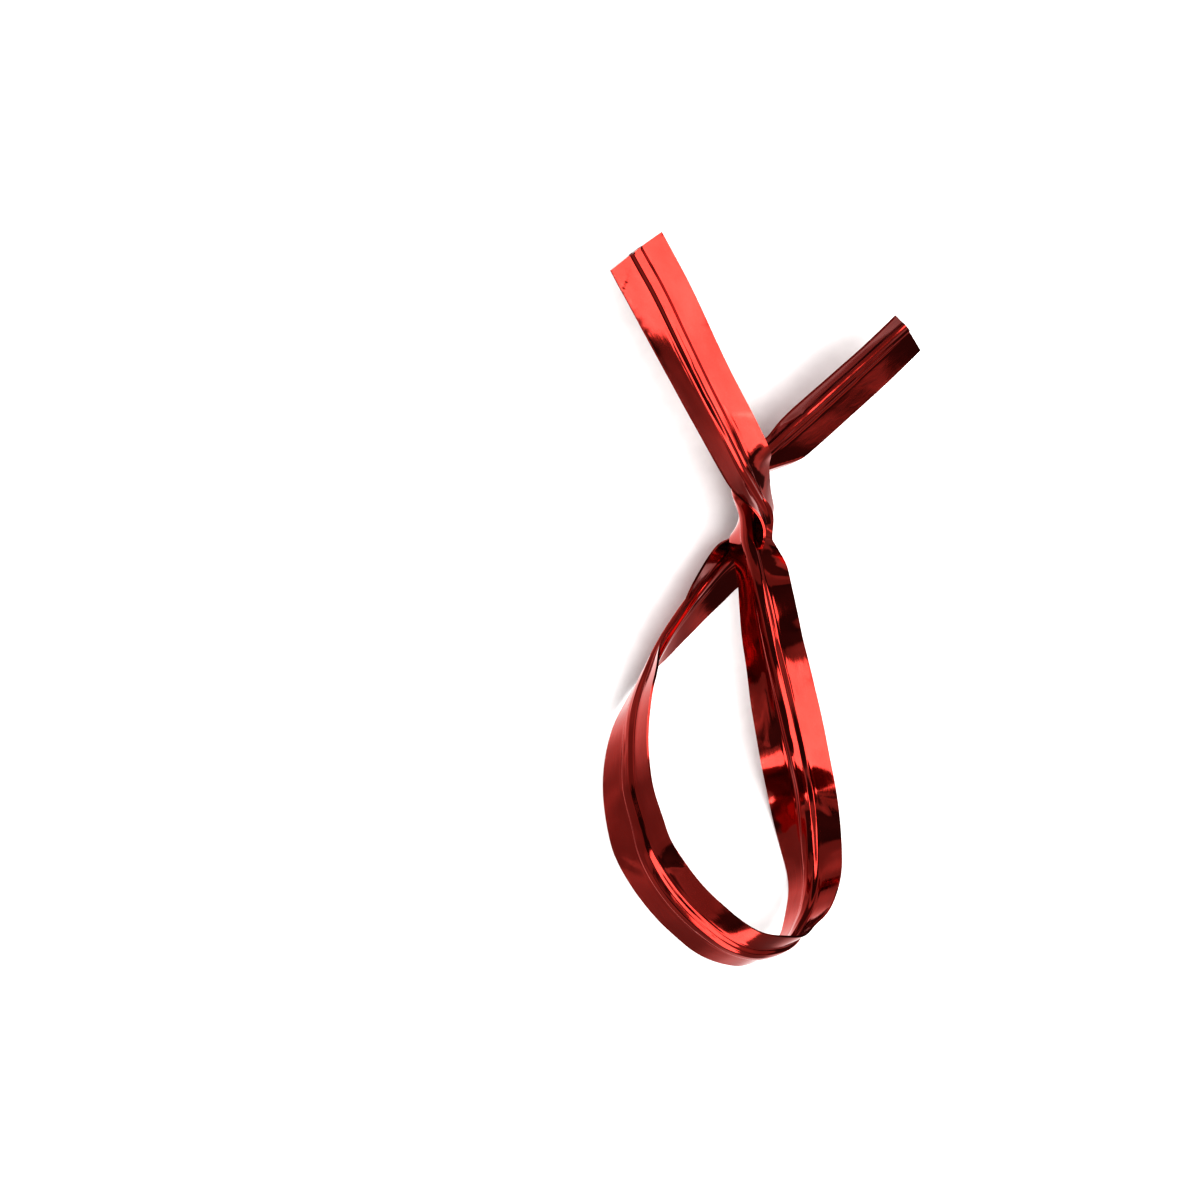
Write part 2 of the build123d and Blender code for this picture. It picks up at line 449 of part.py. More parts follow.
with BuildPart() as right_tail_wire:
    for i in range(RIGHT_TAIL[0], RIGHT_TAIL[1] + 1):
        with BuildSketch(cut_plane(i)):
            RegularPolygon(radius=WIRE_RADIUS, side_count=12)
    loft(ruled=True)
right_tail_wire.part.label = "right_tail_wire"
export_step(right_tail_wire.part, "parts/right_tail_wire.step")
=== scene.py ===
import math
import bpy
import numpy as np
from mathutils import Matrix, Vector


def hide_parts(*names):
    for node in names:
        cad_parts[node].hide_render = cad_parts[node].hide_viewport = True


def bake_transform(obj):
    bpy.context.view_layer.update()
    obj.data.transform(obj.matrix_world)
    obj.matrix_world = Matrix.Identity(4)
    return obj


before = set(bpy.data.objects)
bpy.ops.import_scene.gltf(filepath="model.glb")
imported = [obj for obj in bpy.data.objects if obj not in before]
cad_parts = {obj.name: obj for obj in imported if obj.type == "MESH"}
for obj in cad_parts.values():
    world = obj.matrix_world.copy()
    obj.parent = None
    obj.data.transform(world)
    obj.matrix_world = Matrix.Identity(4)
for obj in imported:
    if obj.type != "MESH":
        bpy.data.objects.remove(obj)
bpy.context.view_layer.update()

MM = 0.001

# ---------------------------------------------------------------- the strip's course
WING_A = 2.185       # mm, wire axis to the outer (low) film edge
WING_B = 2.003       # mm, wire axis to the inner (high) film edge
FILM = 0.06
ADHESIVE = 0.02
RIDGE_HEIGHT = 0.33
WIRE_RADIUS = 0.21
PITCH = 0.303319      # mm along the wire between rows of COURSE

# wire axis (3), direction of wing A (3), direction of wing B (3), thousandths
COURSE = np.array([
    -8492, 21232, 4207, -863, -441, 248, 876, 464, 133,
    -8345, 20964, 4238, -863, -441, 246, 876, 464, 133,
    -8202, 20702, 4268, -864, -440, 244, 876, 464, 133,
    -8057, 20438, 4298, -865, -439, 242, 876, 464, 133,
    -7913, 20172, 4327, -866, -438, 240, 876, 464, 133,
    -7769, 19907, 4357, -867, -437, 240, 876, 464, 133,
    -7626, 19641, 4385, -868, -436, 239, 876, 464, 134,
    -7483, 19375, 4413, -868, -434, 240, 876, 464, 135,
    -7342, 19108, 4439, -869, -432, 242, 876, 463, 137,
    -7201, 18840, 4465, -869, -430, 245, 876, 462, 141,
    -7062, 18572, 4488, -869, -427, 249, 876, 461, 146,
    -6925, 18302, 4511, -869, -425, 255, 876, 459, 151,
    -6788, 18032, 4531, -868, -422, 261, 876, 457, 154,
    -6653, 17761, 4550, -867, -419, 269, 877, 454, 155,
    -6520, 17490, 4568, -866, -416, 277, 879, 452, 153,
    -6386, 17218, 4585, -864, -414, 286, 880, 451, 149,
    -6254, 16945, 4600, -862, -411, 296, 882, 449, 142,
    -6122, 16673, 4615, -860, -409, 306, 884, 448, 134,
    -5990, 16400, 4630, -857, -406, 316, 886, 447, 125,
    -5857, 16127, 4644, -854, -404, 327, 887, 447, 116,
    -5724, 15855, 4658, -851, -403, 337, 888, 447, 107,
    -5591, 15583, 4672, -848, -402, 347, 889, 447, 100,
    -5458, 15311, 4686, -844, -401, 357, 890, 447, 93,
    -5325, 15039, 4700, -840, -400, 367, 890, 448, 88,
    -5191, 14767, 4714, -836, -400, 376, 890, 449, 85,
    -5057, 14495, 4727, -831, -400, 386, 889, 450, 84,
    -4923, 14223, 4740, -827, -400, 395, 888, 452, 84,
    -4788, 13952, 4753, -822, -401, 405, 887, 453, 87,
    -4652, 13681, 4766, -816, -403, 414, 886, 455, 91,
    -4515, 13411, 4778, -811, -404, 423, 884, 457, 95,
    -4377, 13141, 4790, -805, -406, 432, 883, 459, 101,
    -4237, 12872, 4801, -800, -407, 441, 880, 462, 108,
    -4096, 12604, 4812, -794, -409, 450, 878, 465, 116,
    -3954, 12336, 4822, -788, -410, 459, 875, 468, 126,
    -3810, 12069, 4831, -782, -411, 469, 872, 471, 136,
    -3666, 11802, 4838, -775, -414, 479, 869, 473, 147,
    -3521, 11536, 4841, -766, -418, 488, 866, 474, 158,
    -3375, 11270, 4840, -756, -424, 498, 864, 474, 170,
    -3228, 11005, 4835, -746, -431, 508, 862, 473, 182,
    -3080, 10740, 4824, -734, -440, 518, 860, 472, 194,
    -2932, 10477, 4807, -720, -451, 527, 858, 469, 206,
    -2782, 10214, 4782, -706, -462, 536, 857, 466, 219,
    -2632, 9953, 4750, -691, -475, 545, 856, 462, 233,
    -2481, 9693, 4710, -675, -488, 554, 855, 457, 246,
    -2329, 9434, 4663, -659, -500, 562, 854, 451, 258,
    -2177, 9178, 4608, -643, -511, 571, 854, 447, 266,
    -2025, 8923, 4547, -626, -520, 581, 855, 445, 267,
    -1873, 8669, 4480, -610, -528, 591, 857, 448, 254,
    -1721, 8417, 4409, -592, -533, 605, 862, 461, 212,
    -1568, 8165, 4334, -570, -534, 624, 864, 487, 129,
    -1416, 7915, 4257, -541, -532, 652, 854, 521, 1,
    -1264, 7665, 4178, -502, -524, 688, 823, 549, -146,
    -1111, 7415, 4098, -455, -513, 728, 777, 566, -274,
    -957, 7166, 4018, -405, -499, 766, 731, 575, -367,
    -801, 6918, 3938, -357, -485, 799, 690, 581, -433,
    -642, 6673, 3859, -314, -473, 823, 650, 585, -485,
    -479, 6430, 3781, -281, -465, 840, 608, 587, -534,
    -312, 6189, 3702, -260, -464, 847, 565, 586, -582,
    -145, 5949, 3620, -254, -472, 844, 521, 580, -627,
    19, 5710, 3534, -263, -487, 833, 481, 571, -665,
    175, 5468, 3439, -285, -507, 814, 449, 563, -694,
    314, 5223, 3331, -317, -527, 789, 431, 557, -710,
    429, 4974, 3207, -355, -543, 761, 429, 555, -713,
    514, 4725, 3064, -392, -554, 735, 439, 554, -707,
    562, 4481, 2901, -416, -561, 715, 451, 555, -699,
    567, 4247, 2717, -417, -573, 706, 450, 560, -695,
    527, 4031, 2517, -383, -599, 703, 420, 580, -698,
    444, 3835, 2308, -305, -651, 696, 348, 627, -697,
    321, 3661, 2099, -182, -728, 662, 227, 704, -673,
    163, 3508, 1895, -21, -815, 580, 60, 799, -598,
    -22, 3369, 1703, 159, -884, 439, -136, 880, -455,
    -230, 3239, 1529, 332, -909, 250, -328, 912, -248,
    -454, 3106, 1378, 468, -882, 43, -477, 879, -8,
    -689, 2964, 1257, 551, -821, -148, -558, 799, 222,
    -928, 2805, 1173, 584, -756, -296, -573, 710, 409,
    -1166, 2629, 1126, 587, -707, -395, -547, 638, 542,
    -1399, 2438, 1110, 581, -678, -451, -507, 591, 627,
    -1625, 2238, 1117, 577, -663, -478, -472, 562, 679,
    -1845, 2030, 1137, 578, -653, -489, -448, 543, 711,
    -2060, 1818, 1164, 582, -645, -495, -433, 525, 733,
    -2271, 1603, 1193, 586, -636, -502, -421, 508, 752,
    -2480, 1385, 1221, 587, -627, -512, -410, 490, 769,
    -2688, 1166, 1248, 586, -617, -526, -398, 473, 786,
    -2895, 945, 1275, 581, -608, -541, -384, 456, 803,
    -3100, 724, 1302, 576, -598, -558, -368, 439, 820,
    -3304, 501, 1329, 569, -589, -574, -350, 422, 836,
    -3508, 278, 1356, 562, -581, -588, -330, 405, 853,
    -3709, 53, 1384, 556, -574, -602, -307, 389, 869,
    -3909, -173, 1415, 550, -566, -614, -283, 372, 884,
    -4105, -402, 1448, 542, -558, -629, -257, 355, 899,
    -4300, -632, 1484, 532, -548, -645, -232, 338, 912,
    -4492, -863, 1521, 520, -537, -664, -208, 323, 923,
    -4683, -1096, 1560, 506, -525, -685, -189, 312, 931,
    -4870, -1331, 1600, 490, -512, -705, -175, 305, 936,
    -5054, -1568, 1644, 474, -499, -726, -168, 305, 938,
    -5235, -1808, 1690, 455, -485, -746, -168, 309, 936,
    -5410, -2050, 1739, 435, -471, -767, -173, 317, 932,
    -5582, -2294, 1791, 412, -457, -788, -183, 327, 927,
    -5749, -2541, 1846, 384, -441, -811, -192, 336, 922,
    -5913, -2790, 1903, 352, -424, -835, -197, 342, 919,
    -6073, -3041, 1962, 313, -404, -859, -194, 343, 919,
    -6230, -3293, 2023, 268, -383, -884, -179, 337, 924,
    -6384, -3546, 2086, 219, -360, -907, -152, 325, 933,
    -6536, -3801, 2150, 168, -336, -927, -115, 309, 944,
    -6687, -4056, 2216, 120, -313, -942, -74, 289, 954,
    -6836, -4311, 2282, 79, -293, -953, -34, 270, 962,
    -6985, -4567, 2348, 49, -279, -959, 0, 253, 967,
    -7131, -4824, 2415, 28, -269, -963, 27, 240, 970,
    -7273, -5084, 2484, 13, -262, -965, 48, 231, 972,
    -7409, -5345, 2553, -1, -256, -967, 68, 224, 972,
    -7538, -5611, 2623, -17, -250, -968, 89, 217, 972,
    -7660, -5879, 2695, -38, -242, -970, 113, 210, 971,
    -7775, -6150, 2767, -63, -233, -971, 137, 203, 970,
    -7881, -6425, 2839, -91, -223, -971, 160, 197, 967,
    -7978, -6702, 2912, -119, -215, -969, 180, 193, 965,
    -8063, -6984, 2985, -148, -207, -967, 196, 192, 962,
    -8137, -7269, 3057, -178, -201, -963, 209, 192, 959,
    -8200, -7556, 3129, -208, -197, -958, 217, 193, 957,
    -8252, -7846, 3200, -239, -193, -952, 223, 195, 955,
    -8297, -8138, 3270, -269, -190, -944, 228, 198, 953,
    -8336, -8430, 3340, -299, -189, -935, 232, 201, 952,
    -8372, -8723, 3411, -327, -188, -926, 239, 204, 949,
    -8406, -9015, 3484, -353, -189, -916, 248, 208, 946,
    -8438, -9308, 3558, -375, -190, -907, 260, 212, 942,
    -8471, -9600, 3633, -393, -192, -899, 275, 215, 937,
    -8501, -9892, 3710, -408, -195, -892, 292, 216, 932,
    -8528, -10184, 3787, -420, -198, -886, 309, 217, 926,
    -8548, -10476, 3863, -430, -203, -880, 327, 218, 920,
    -8558, -10770, 3936, -440, -208, -874, 342, 219, 914,
    -8556, -11065, 4006, -452, -215, -866, 355, 220, 909,
    -8537, -11360, 4070, -468, -223, -855, 365, 223, 904,
    -8500, -11655, 4128, -487, -233, -841, 373, 226, 900,
    -8449, -11948, 4181, -511, -245, -824, 379, 231, 896,
    -8386, -12241, 4230, -536, -256, -805, 386, 237, 892,
    -8316, -12532, 4278, -560, -266, -784, 392, 244, 887,
    -8244, -12822, 4328, -582, -274, -765, 401, 253, 880,
    -8176, -13113, 4381, -600, -279, -750, 413, 263, 872,
    -8115, -13403, 4442, -611, -282, -739, 427, 274, 862,
    -8065, -13694, 4511, -614, -284, -736, 445, 284, 849,
    -8024, -13983, 4589, -607, -288, -741, 466, 293, 835,
    -7987, -14273, 4672, -589, -295, -752, 490, 301, 818,
    -7946, -14561, 4754, -562, -303, -769, 519, 308, 797,
    -7891, -14849, 4830, -531, -310, -789, 552, 318, 770,
    -7819, -15135, 4897, -499, -313, -808, 590, 333, 735,
    -7728, -15418, 4952, -470, -313, -825, 630, 353, 692,
    -7621, -15697, 4999, -444, -311, -840, 667, 379, 642,
    -7500, -15972, 5038, -421, -310, -852, 698, 409, 588,
    -7367, -16241, 5072, -402, -310, -862, 721, 441, 535,
    -7222, -16506, 5101, -384, -311, -869, 735, 473, 486,
    -7068, -16766, 5127, -369, -313, -875, 741, 504, 444,
    -6904, -17020, 5151, -356, -316, -879, 740, 533, 411,
    -6732, -17268, 5172, -345, -320, -883, 733, 559, 388,
    -6551, -17511, 5191, -335, -324, -885, 723, 581, 374,
    -6364, -17748, 5209, -327, -328, -886, 709, 601, 369,
    -6170, -17981, 5225, -320, -332, -887, 693, 618, 370,
    -5970, -18208, 5239, -313, -336, -888, 675, 634, 377,
    -5763, -18430, 5251, -307, -340, -889, 656, 647, 388,
    -5551, -18646, 5262, -300, -345, -889, 635, 660, 401,
    -5333, -18856, 5271, -294, -349, -890, 613, 671, 417,
    -5108, -19060, 5279, -288, -352, -891, 591, 680, 434,
    -4879, -19258, 5284, -283, -356, -891, 569, 687, 453,
    -4644, -19449, 5287, -280, -360, -890, 547, 690, 474,
    -4404, -19635, 5287, -280, -366, -887, 525, 690, 498,
    -4160, -19815, 5285, -282, -373, -884, 504, 687, 524,
    -3912, -19990, 5280, -284, -380, -880, 483, 681, 551,
    -3660, -20158, 5272, -286, -386, -877, 462, 673, 578,
    -3404, -20320, 5260, -285, -387, -877, 441, 665, 603,
    -3144, -20475, 5244, -282, -385, -879, 421, 657, 625,
    -2880, -20622, 5224, -278, -380, -882, 401, 650, 646,
    -2611, -20758, 5198, -274, -372, -887, 380, 642, 666,
    -2337, -20883, 5166, -270, -363, -892, 360, 633, 685,
    -2058, -20994, 5128, -267, -355, -896, 339, 623, 705,
    -1775, -21092, 5082, -266, -348, -899, 319, 612, 723,
    -1489, -21173, 5029, -266, -343, -901, 300, 601, 741,
    -1200, -21237, 4967, -267, -343, -901, 281, 590, 757,
    -909, -21280, 4897, -268, -345, -899, 263, 580, 771,
    -618, -21302, 4819, -268, -350, -898, 247, 568, 785,
    -329, -21302, 4732, -268, -353, -897, 234, 554, 799,
    -41, -21283, 4639, -268, -352, -897, 225, 534, 815,
    242, -21247, 4540, -268, -347, -899, 221, 507, 833,
    523, -21196, 4438, -268, -337, -903, 223, 475, 852,
    799, -21131, 4332, -270, -324, -907, 228, 437, 870,
    1070, -21052, 4224, -271, -312, -911, 236, 397, 887,
    1335, -20957, 4113, -271, -303, -914, 245, 361, 900,
    1591, -20843, 4000, -269, -300, -915, 250, 336, 908,
    1831, -20704, 3884, -264, -303, -916, 251, 324, 912,
    2051, -20538, 3766, -257, -309, -916, 248, 321, 914,
    2247, -20344, 3646, -248, -315, -916, 251, 315, 915,
    2423, -20131, 3524, -240, -319, -917, 270, 299, 915,
    2586, -19907, 3404, -234, -320, -918, 306, 270, 913,
    2742, -19676, 3284, -231, -318, -920, 350, 235, 907,
    2893, -19441, 3166, -234, -310, -922, 392, 201, 898,
    3039, -19202, 3049, -243, -296, -924, 429, 172, 887,
    3177, -18958, 2936, -255, -280, -925, 460, 150, 875,
    3306, -18706, 2826, -265, -263, -928, 488, 133, 862,
    3420, -18446, 2721, -271, -247, -930, 517, 121, 848,
    3518, -18178, 2623, -272, -234, -934, 548, 111, 829,
    3598, -17901, 2533, -269, -222, -937, 585, 103, 805,
    3662, -17617, 2450, -265, -211, -941, 626, 96, 774,
    3711, -17328, 2373, -264, -200, -943, 670, 90, 737,
    3748, -17036, 2302, -269, -189, -944, 715, 84, 694,
    3776, -16741, 2237, -281, -178, -943, 759, 78, 646,
    3795, -16445, 2177, -302, -167, -938, 799, 75, 597,
    3808, -16147, 2122, -332, -157, -930, 833, 72, 548,
    3814, -15848, 2070, -369, -147, -918, 862, 71, 502,
    3816, -15549, 2023, -410, -139, -902, 884, 70, 462,
    3815, -15249, 1978, -453, -131, -882, 901, 69, 429,
    3811, -14948, 1937, -497, -123, -859, 912, 70, 405,
    3804, -14647, 1899, -540, -115, -834, 918, 73, 390,
    3794, -14346, 1866, -583, -107, -805, 920, 78, 383,
    3779, -14045, 1838, -626, -101, -773, 920, 84, 383,
    3760, -13743, 1816, -669, -94, -737, 916, 90, 390,
    3735, -13441, 1803, -711, -88, -698, 911, 96, 401,
    3702, -13140, 1801, -751, -82, -656, 905, 101, 414,
    3662, -12841, 1814, -788, -78, -611, 898, 103, 428,
    3611, -12545, 1847, -821, -78, -565, 892, 103, 441,
    3549, -12256, 1903, -850, -83, -521, 887, 100, 451,
    3475, -11976, 1986, -872, -94, -480, 884, 97, 458,
    3388, -11709, 2096, -889, -110, -445, 883, 95, 459,
    3292, -11456, 2229, -900, -128, -417, 884, 95, 458,
    3188, -11217, 2382, -906, -147, -396, 886, 97, 453,
    3079, -10988, 2547, -910, -162, -382, 888, 102, 448,
    2966, -10767, 2721, -911, -173, -373, 891, 109, 441,
    2851, -10550, 2899, -912, -179, -369, 894, 117, 434,
    2736, -10335, 3079, -911, -181, -370, 896, 126, 426,
    2620, -10119, 3258, -911, -177, -374, 899, 136, 417,
    2506, -9898, 3432, -909, -170, -381, 902, 146, 407,
    2394, -9672, 3600, -906, -161, -392, 905, 156, 395,
    2284, -9440, 3759, -902, -150, -405, 909, 167, 381,
    2176, -9200, 3911, -896, -140, -422, 913, 179, 366,
    2070, -8955, 4054, -889, -130, -440, 917, 190, 350,
    1966, -8704, 4189, -880, -122, -460, 920, 200, 336,
    1864, -8449, 4317, -870, -114, -480, 923, 210, 323,
    1763, -8189, 4437, -858, -109, -502, 925, 217, 313,
    1662, -7927, 4550, -846, -105, -523, 925, 223, 307,
    1562, -7661, 4656, -833, -102, -544, 924, 227, 307,
    1463, -7393, 4757, -819, -100, -565, 923, 230, 310,
    1363, -7122, 4851, -804, -98, -586, 920, 231, 316,
    1264, -6849, 4938, -788, -97, -608, 918, 231, 324,
    1165, -6575, 5020, -771, -96, -630, 915, 232, 330,
    1068, -6298, 5096, -752, -94, -652, 913, 233, 334,
    971, -6019, 5165, -732, -92, -676, 913, 236, 334,
    874, -5739, 5229, -709, -90, -699, 913, 239, 331,
    779, -5457, 5288, -685, -87, -723, 914, 242, 326,
    684, -5174, 5342, -661, -85, -746, 915, 245, 319,
    591, -4889, 5390, -635, -83, -768, 917, 247, 314,
    499, -4604, 5434, -610, -82, -788, 917, 248, 314,
    408, -4317, 5473, -585, -83, -807, 915, 246, 319,
    319, -4029, 5506, -563, -85, -822, 911, 244, 331,
    232, -3740, 5534, -542, -88, -836, 905, 240, 351,
    146, -3450, 5557, -523, -92, -848, 897, 235, 374,
    63, -3159, 5575, -505, -97, -857, 889, 230, 396,
    -18, -2867, 5588, -489, -102, -866, 883, 225, 412,
    -96, -2574, 5596, -473, -106, -874, 882, 222, 415,
    -171, -2280, 5600, -457, -111, -883, 889, 220, 403,
    -243, -1986, 5598, -438, -117, -891, 900, 218, 377,
    -311, -1690, 5592, -419, -124, -900, 914, 217, 344,
    -377, -1394, 5580, -397, -130, -908, 925, 216, 313,
    -440, -1098, 5563, -375, -136, -917, 932, 214, 293,
    -501, -802, 5543, -352, -143, -925, 933, 214, 289,
    -561, -506, 5518, -328, -152, -932, 930, 214, 300,
    -620, -210, 5489, -304, -163, -939, 922, 216, 321,
    -677, 86, 5454, -279, -176, -944, 913, 219, 344,
    -732, 381, 5412, -253, -192, -948, 905, 222, 362,
    -785, 676, 5364, -228, -210, -951, 901, 226, 370,
    -836, 970, 5308, -202, -229, -952, 906, 227, 358,
    -885, 1262, 5244, -176, -249, -952, 921, 223, 321,
    -932, 1553, 5173, -151, -268, -951, 944, 211, 254,
    -977, 1842, 5095, -127, -285, -950, 968, 190, 165,
    -1020, 2130, 5010, -104, -300, -948, 985, 162, 65,
    -1061, 2417, 4921, -87, -313, -946, 991, 129, -32,
    -1102, 2703, 4828, -77, -325, -943, 988, 95, -119,
    -1140, 2988, 4731, -76, -335, -939, 979, 60, -193,
    -1178, 3272, 4631, -82, -342, -936, 968, 19, -250,
    -1209, 3555, 4528, -96, -346, -933, 957, -35, -289,
    -1225, 3837, 4424, -117, -346, -931, 944, -105, -313,
    -1217, 4119, 4318, -139, -346, -928, 930, -173, -324,
    -1188, 4400, 4210, -151, -357, -922, 923, -212, -321,
    -1156, 4678, 4096, -144, -386, -911, 931, -208, -301,
    -1133, 4953, 3972, -117, -431, -895, 954, -159, -254,
    -1127, 5221, 3833, -69, -486, -871, 984, -59, -166,
    -1140, 5478, 3678, 3, -537, -844, 995, 100, -17,
    -1174, 5724, 3506, 99, -569, -816, 929, 309, 202,
    -1221, 5960, 3322, 211, -574, -791, 720, 514, 465,
    -1272, 6191, 3134, 321, -553, -768, 371, 627, 685,
    -1312, 6425, 2948, 411, -523, -747, 3, 622, 783,
    -1327, 6668, 2774, 470, -500, -727, -270, 563, 781,
    -1301, 6921, 2622, 502, -490, -713, -426, 517, 742,
    -1225, 7177, 2501, 517, -492, -700, -504, 502, 703,
    -1099, 7430, 2417, 532, -502, -682, -540, 507, 671,
    -935, 7673, 2367, 552, -518, -653, -558, 519, 648,
    -745, 7905, 2345, 576, -540, -614, -567, 526, 634,
    -540, 8127, 2343, 599, -564, -568, -567, 523, 636,
    -327, 8342, 2356, 618, -585, -525, -556, 503, 662,
    -109, 8551, 2380, 629, -603, -490, -532, 464, 708,
    112, 8756, 2412, 637, -617, -463, -499, 410, 763,
    335, 8958, 2450, 642, -628, -440, -461, 351, 815,
    559, 9157, 2492, 647, -638, -418, -429, 301, 852,
    784, 9357, 2535, 652, -648, -394, -412, 274, 869,
    1008, 9556, 2579, 658, -657, -369, -414, 272, 869,
    1232, 9756, 2624, 663, -664, -346, -428, 289, 856,
    1456, 9956, 2668, 667, -669, -329, -446, 310, 840,
    1678, 10157, 2712, 669, -672, -317, -461, 327, 825,
    1901, 10358, 2757, 671, -673, -309, -471, 339, 814,
    2123, 10559, 2802, 673, -674, -305, -478, 345, 808,
    2345, 10761, 2848, 675, -673, -302, -483, 348, 803,
    2567, 10963, 2894, 677, -672, -300, -487, 349, 801,
    2788, 11165, 2941, 678, -671, -299, -490, 348, 799,
    3009, 11368, 2988, 680, -670, -298, -493, 346, 798,
    3229, 11570, 3037, 683, -668, -297, -495, 344, 798,
    3449, 11774, 3086, 685, -666, -296, -497, 341, 798,
    3668, 11977, 3136, 686, -665, -295, -499, 338, 798,
    3887, 12181, 3187, 688, -663, -294, -500, 335, 799,
    4105, 12385, 3239, 690, -662, -293, -501, 331, 800,
    4323, 12589, 3292, 691, -661, -292, -501, 327, 801,
    4541, 12794, 3345, 692, -661, -292, -500, 324, 803,
    4758, 12998, 3398, 692, -660, -291, -499, 320, 805,
    4976, 13203, 3452, 693, -660, -291, -498, 316, 807,
    5193, 13407, 3506, 693, -659, -291, -496, 313, 810,
    5410, 13612, 3560, 693, -659, -292, -495, 310, 812,
    5628, 13817, 3615, 693, -658, -293, -493, 307, 814,
    5845, 14021, 3670, 693, -658, -295, -492, 304, 816,
    6062, 14225, 3725, 693, -657, -298, -490, 302, 817,
    6280, 14430, 3779, 692, -656, -301, -489, 301, 818,
    6497, 14634, 3834, 691, -655, -306, -489, 301, 819,
    6715, 14838, 3889, 690, -653, -311, -489, 302, 819,
    6933, 15041, 3944, 689, -651, -318, -490, 303, 818,
    7151, 15245, 3999, 688, -649, -326, -491, 306, 816,
    7369, 15448, 4054, 686, -646, -334, -493, 309, 813,
    7587, 15652, 4109, 684, -643, -344, -495, 313, 810,
    7806, 15855, 4164, 683, -639, -354, -498, 318, 807,
    8024, 16058, 4219, 681, -635, -365, -502, 323, 802,
    8243, 16260, 4274, 679, -630, -377, -505, 329, 798,
    8462, 16463, 4329, 677, -625, -388, -509, 335, 793,
    8678, 16664, 4383, 675, -621, -399, -513, 340, 788,
    8900, 16869, 4439, 674, -617, -407, -516, 345, 784,
], float).reshape(-1, 9) / 1000.0

# lengths along the wire where the CAD nodes meet, mm
CROWN_LEFT, CROWN_RIGHT = 17.2388, 86.2547
TWIST = ((-0.7880, 0.3659, 3.3982), (-0.7880, 4.7775, 3.3132))
LEFT_HINGE = ((-2.7185, 10.1025, 4.7713), (-3.3133, 11.1578, 4.8396))
RIGHT_HINGE = ((1.8968, 10.3541, 2.7563), (2.7847, 11.1616, 2.9396))
END = (len(COURSE) - 1) * PITCH


def unit(v):
    return v / np.linalg.norm(v, axis=-1, keepdims=True)


def course(s):
    """Wire axis, travel, wing A and wing B directions at lengths s, by Catmull-Rom."""
    t = np.asarray(s, float) / PITCH
    i = np.clip(np.floor(t).astype(int), 0, len(COURSE) - 2)
    u = (t - i)[..., None]
    n = len(COURSE) - 1
    p0, p1 = COURSE[np.clip(i - 1, 0, n)], COURSE[i]
    p2, p3 = COURSE[i + 1], COURSE[np.clip(i + 2, 0, n)]
    p0 = np.where((i == 0)[..., None], 2 * p1 - p2, p0)
    p3 = np.where((i == n - 1)[..., None], 2 * p2 - p1, p3)
    row = 0.5 * (2 * p1 + (p2 - p0) * u + (2 * p0 - 5 * p1 + 4 * p2 - p3) * u**2 + (3 * p1 - p0 - 3 * p2 + p3) * u**3)
    rate = 0.5 * ((p2 - p0) + 2 * (2 * p0 - 5 * p1 + 4 * p2 - p3) * u + 3 * (3 * p1 - p0 - 3 * p2 + p3) * u**2)
    travel = unit(rate[..., 0:3])
    a, b = row[..., 3:6], row[..., 6:9]
    a = unit(a - travel * (a * travel).sum(-1, keepdims=True))
    b = unit(b - travel * (b * travel).sum(-1, keepdims=True))
    return row[..., 0:3], travel, a, b


# ---------------------------------------------------------------- film relief
def lattice(seed):
    return np.random.RandomState(seed).uniform(-1, 1, (257, 257))


def noise(x, y, seed):
    """Smooth value noise, -1 to 1."""
    g = lattice(seed)
    xi, yi = np.floor(x).astype(int), np.floor(y).astype(int)
    fx, fy = x - xi, y - yi
    fx, fy = fx**3 * (fx * (fx * 6 - 15) + 10), fy**3 * (fy * (fy * 6 - 15) + 10)
    a, b = xi % 256, yi % 256
    return (g[a, b] * (1 - fx) + g[a + 1, b] * fx) * (1 - fy) + (g[a, b + 1] * (1 - fx) + g[a + 1, b + 1] * fx) * fy


def smooth(lo, hi, x):
    t = np.clip((x - lo) / (hi - lo), 0, 1)
    return t * t * (3 - 2 * t)


# dents and creases: (s0, u0, s1, u1, depth mm, half width mm)
CREASES = [
    # dents in the lower left of the loop
    (43.2, -1.9, 44.2, -0.9, -0.07, 0.30), (43.4, -0.9, 43.9, -1.9, 0.05, 0.22), (44.6, 0.7, 45.3, 1.9, -0.05, 0.30),
    # crease down the right leg's outer wing, and dents beside the twist
    (70.5, -1.4, 75.0, -0.8, 0.05, 0.25), (63.6, -1.8, 64.4, -0.8, 0.05, 0.3), (14.2, 1.7, 15.2, 0.8, -0.06, 0.30),
    (15.3, -0.8, 16.4, -1.6, 0.05, 0.25), (92.0, 1.6, 93.2, 0.7, 0.05, 0.28), (65.8, 0.9, 64.4, 1.7, -0.04, 0.25),
]


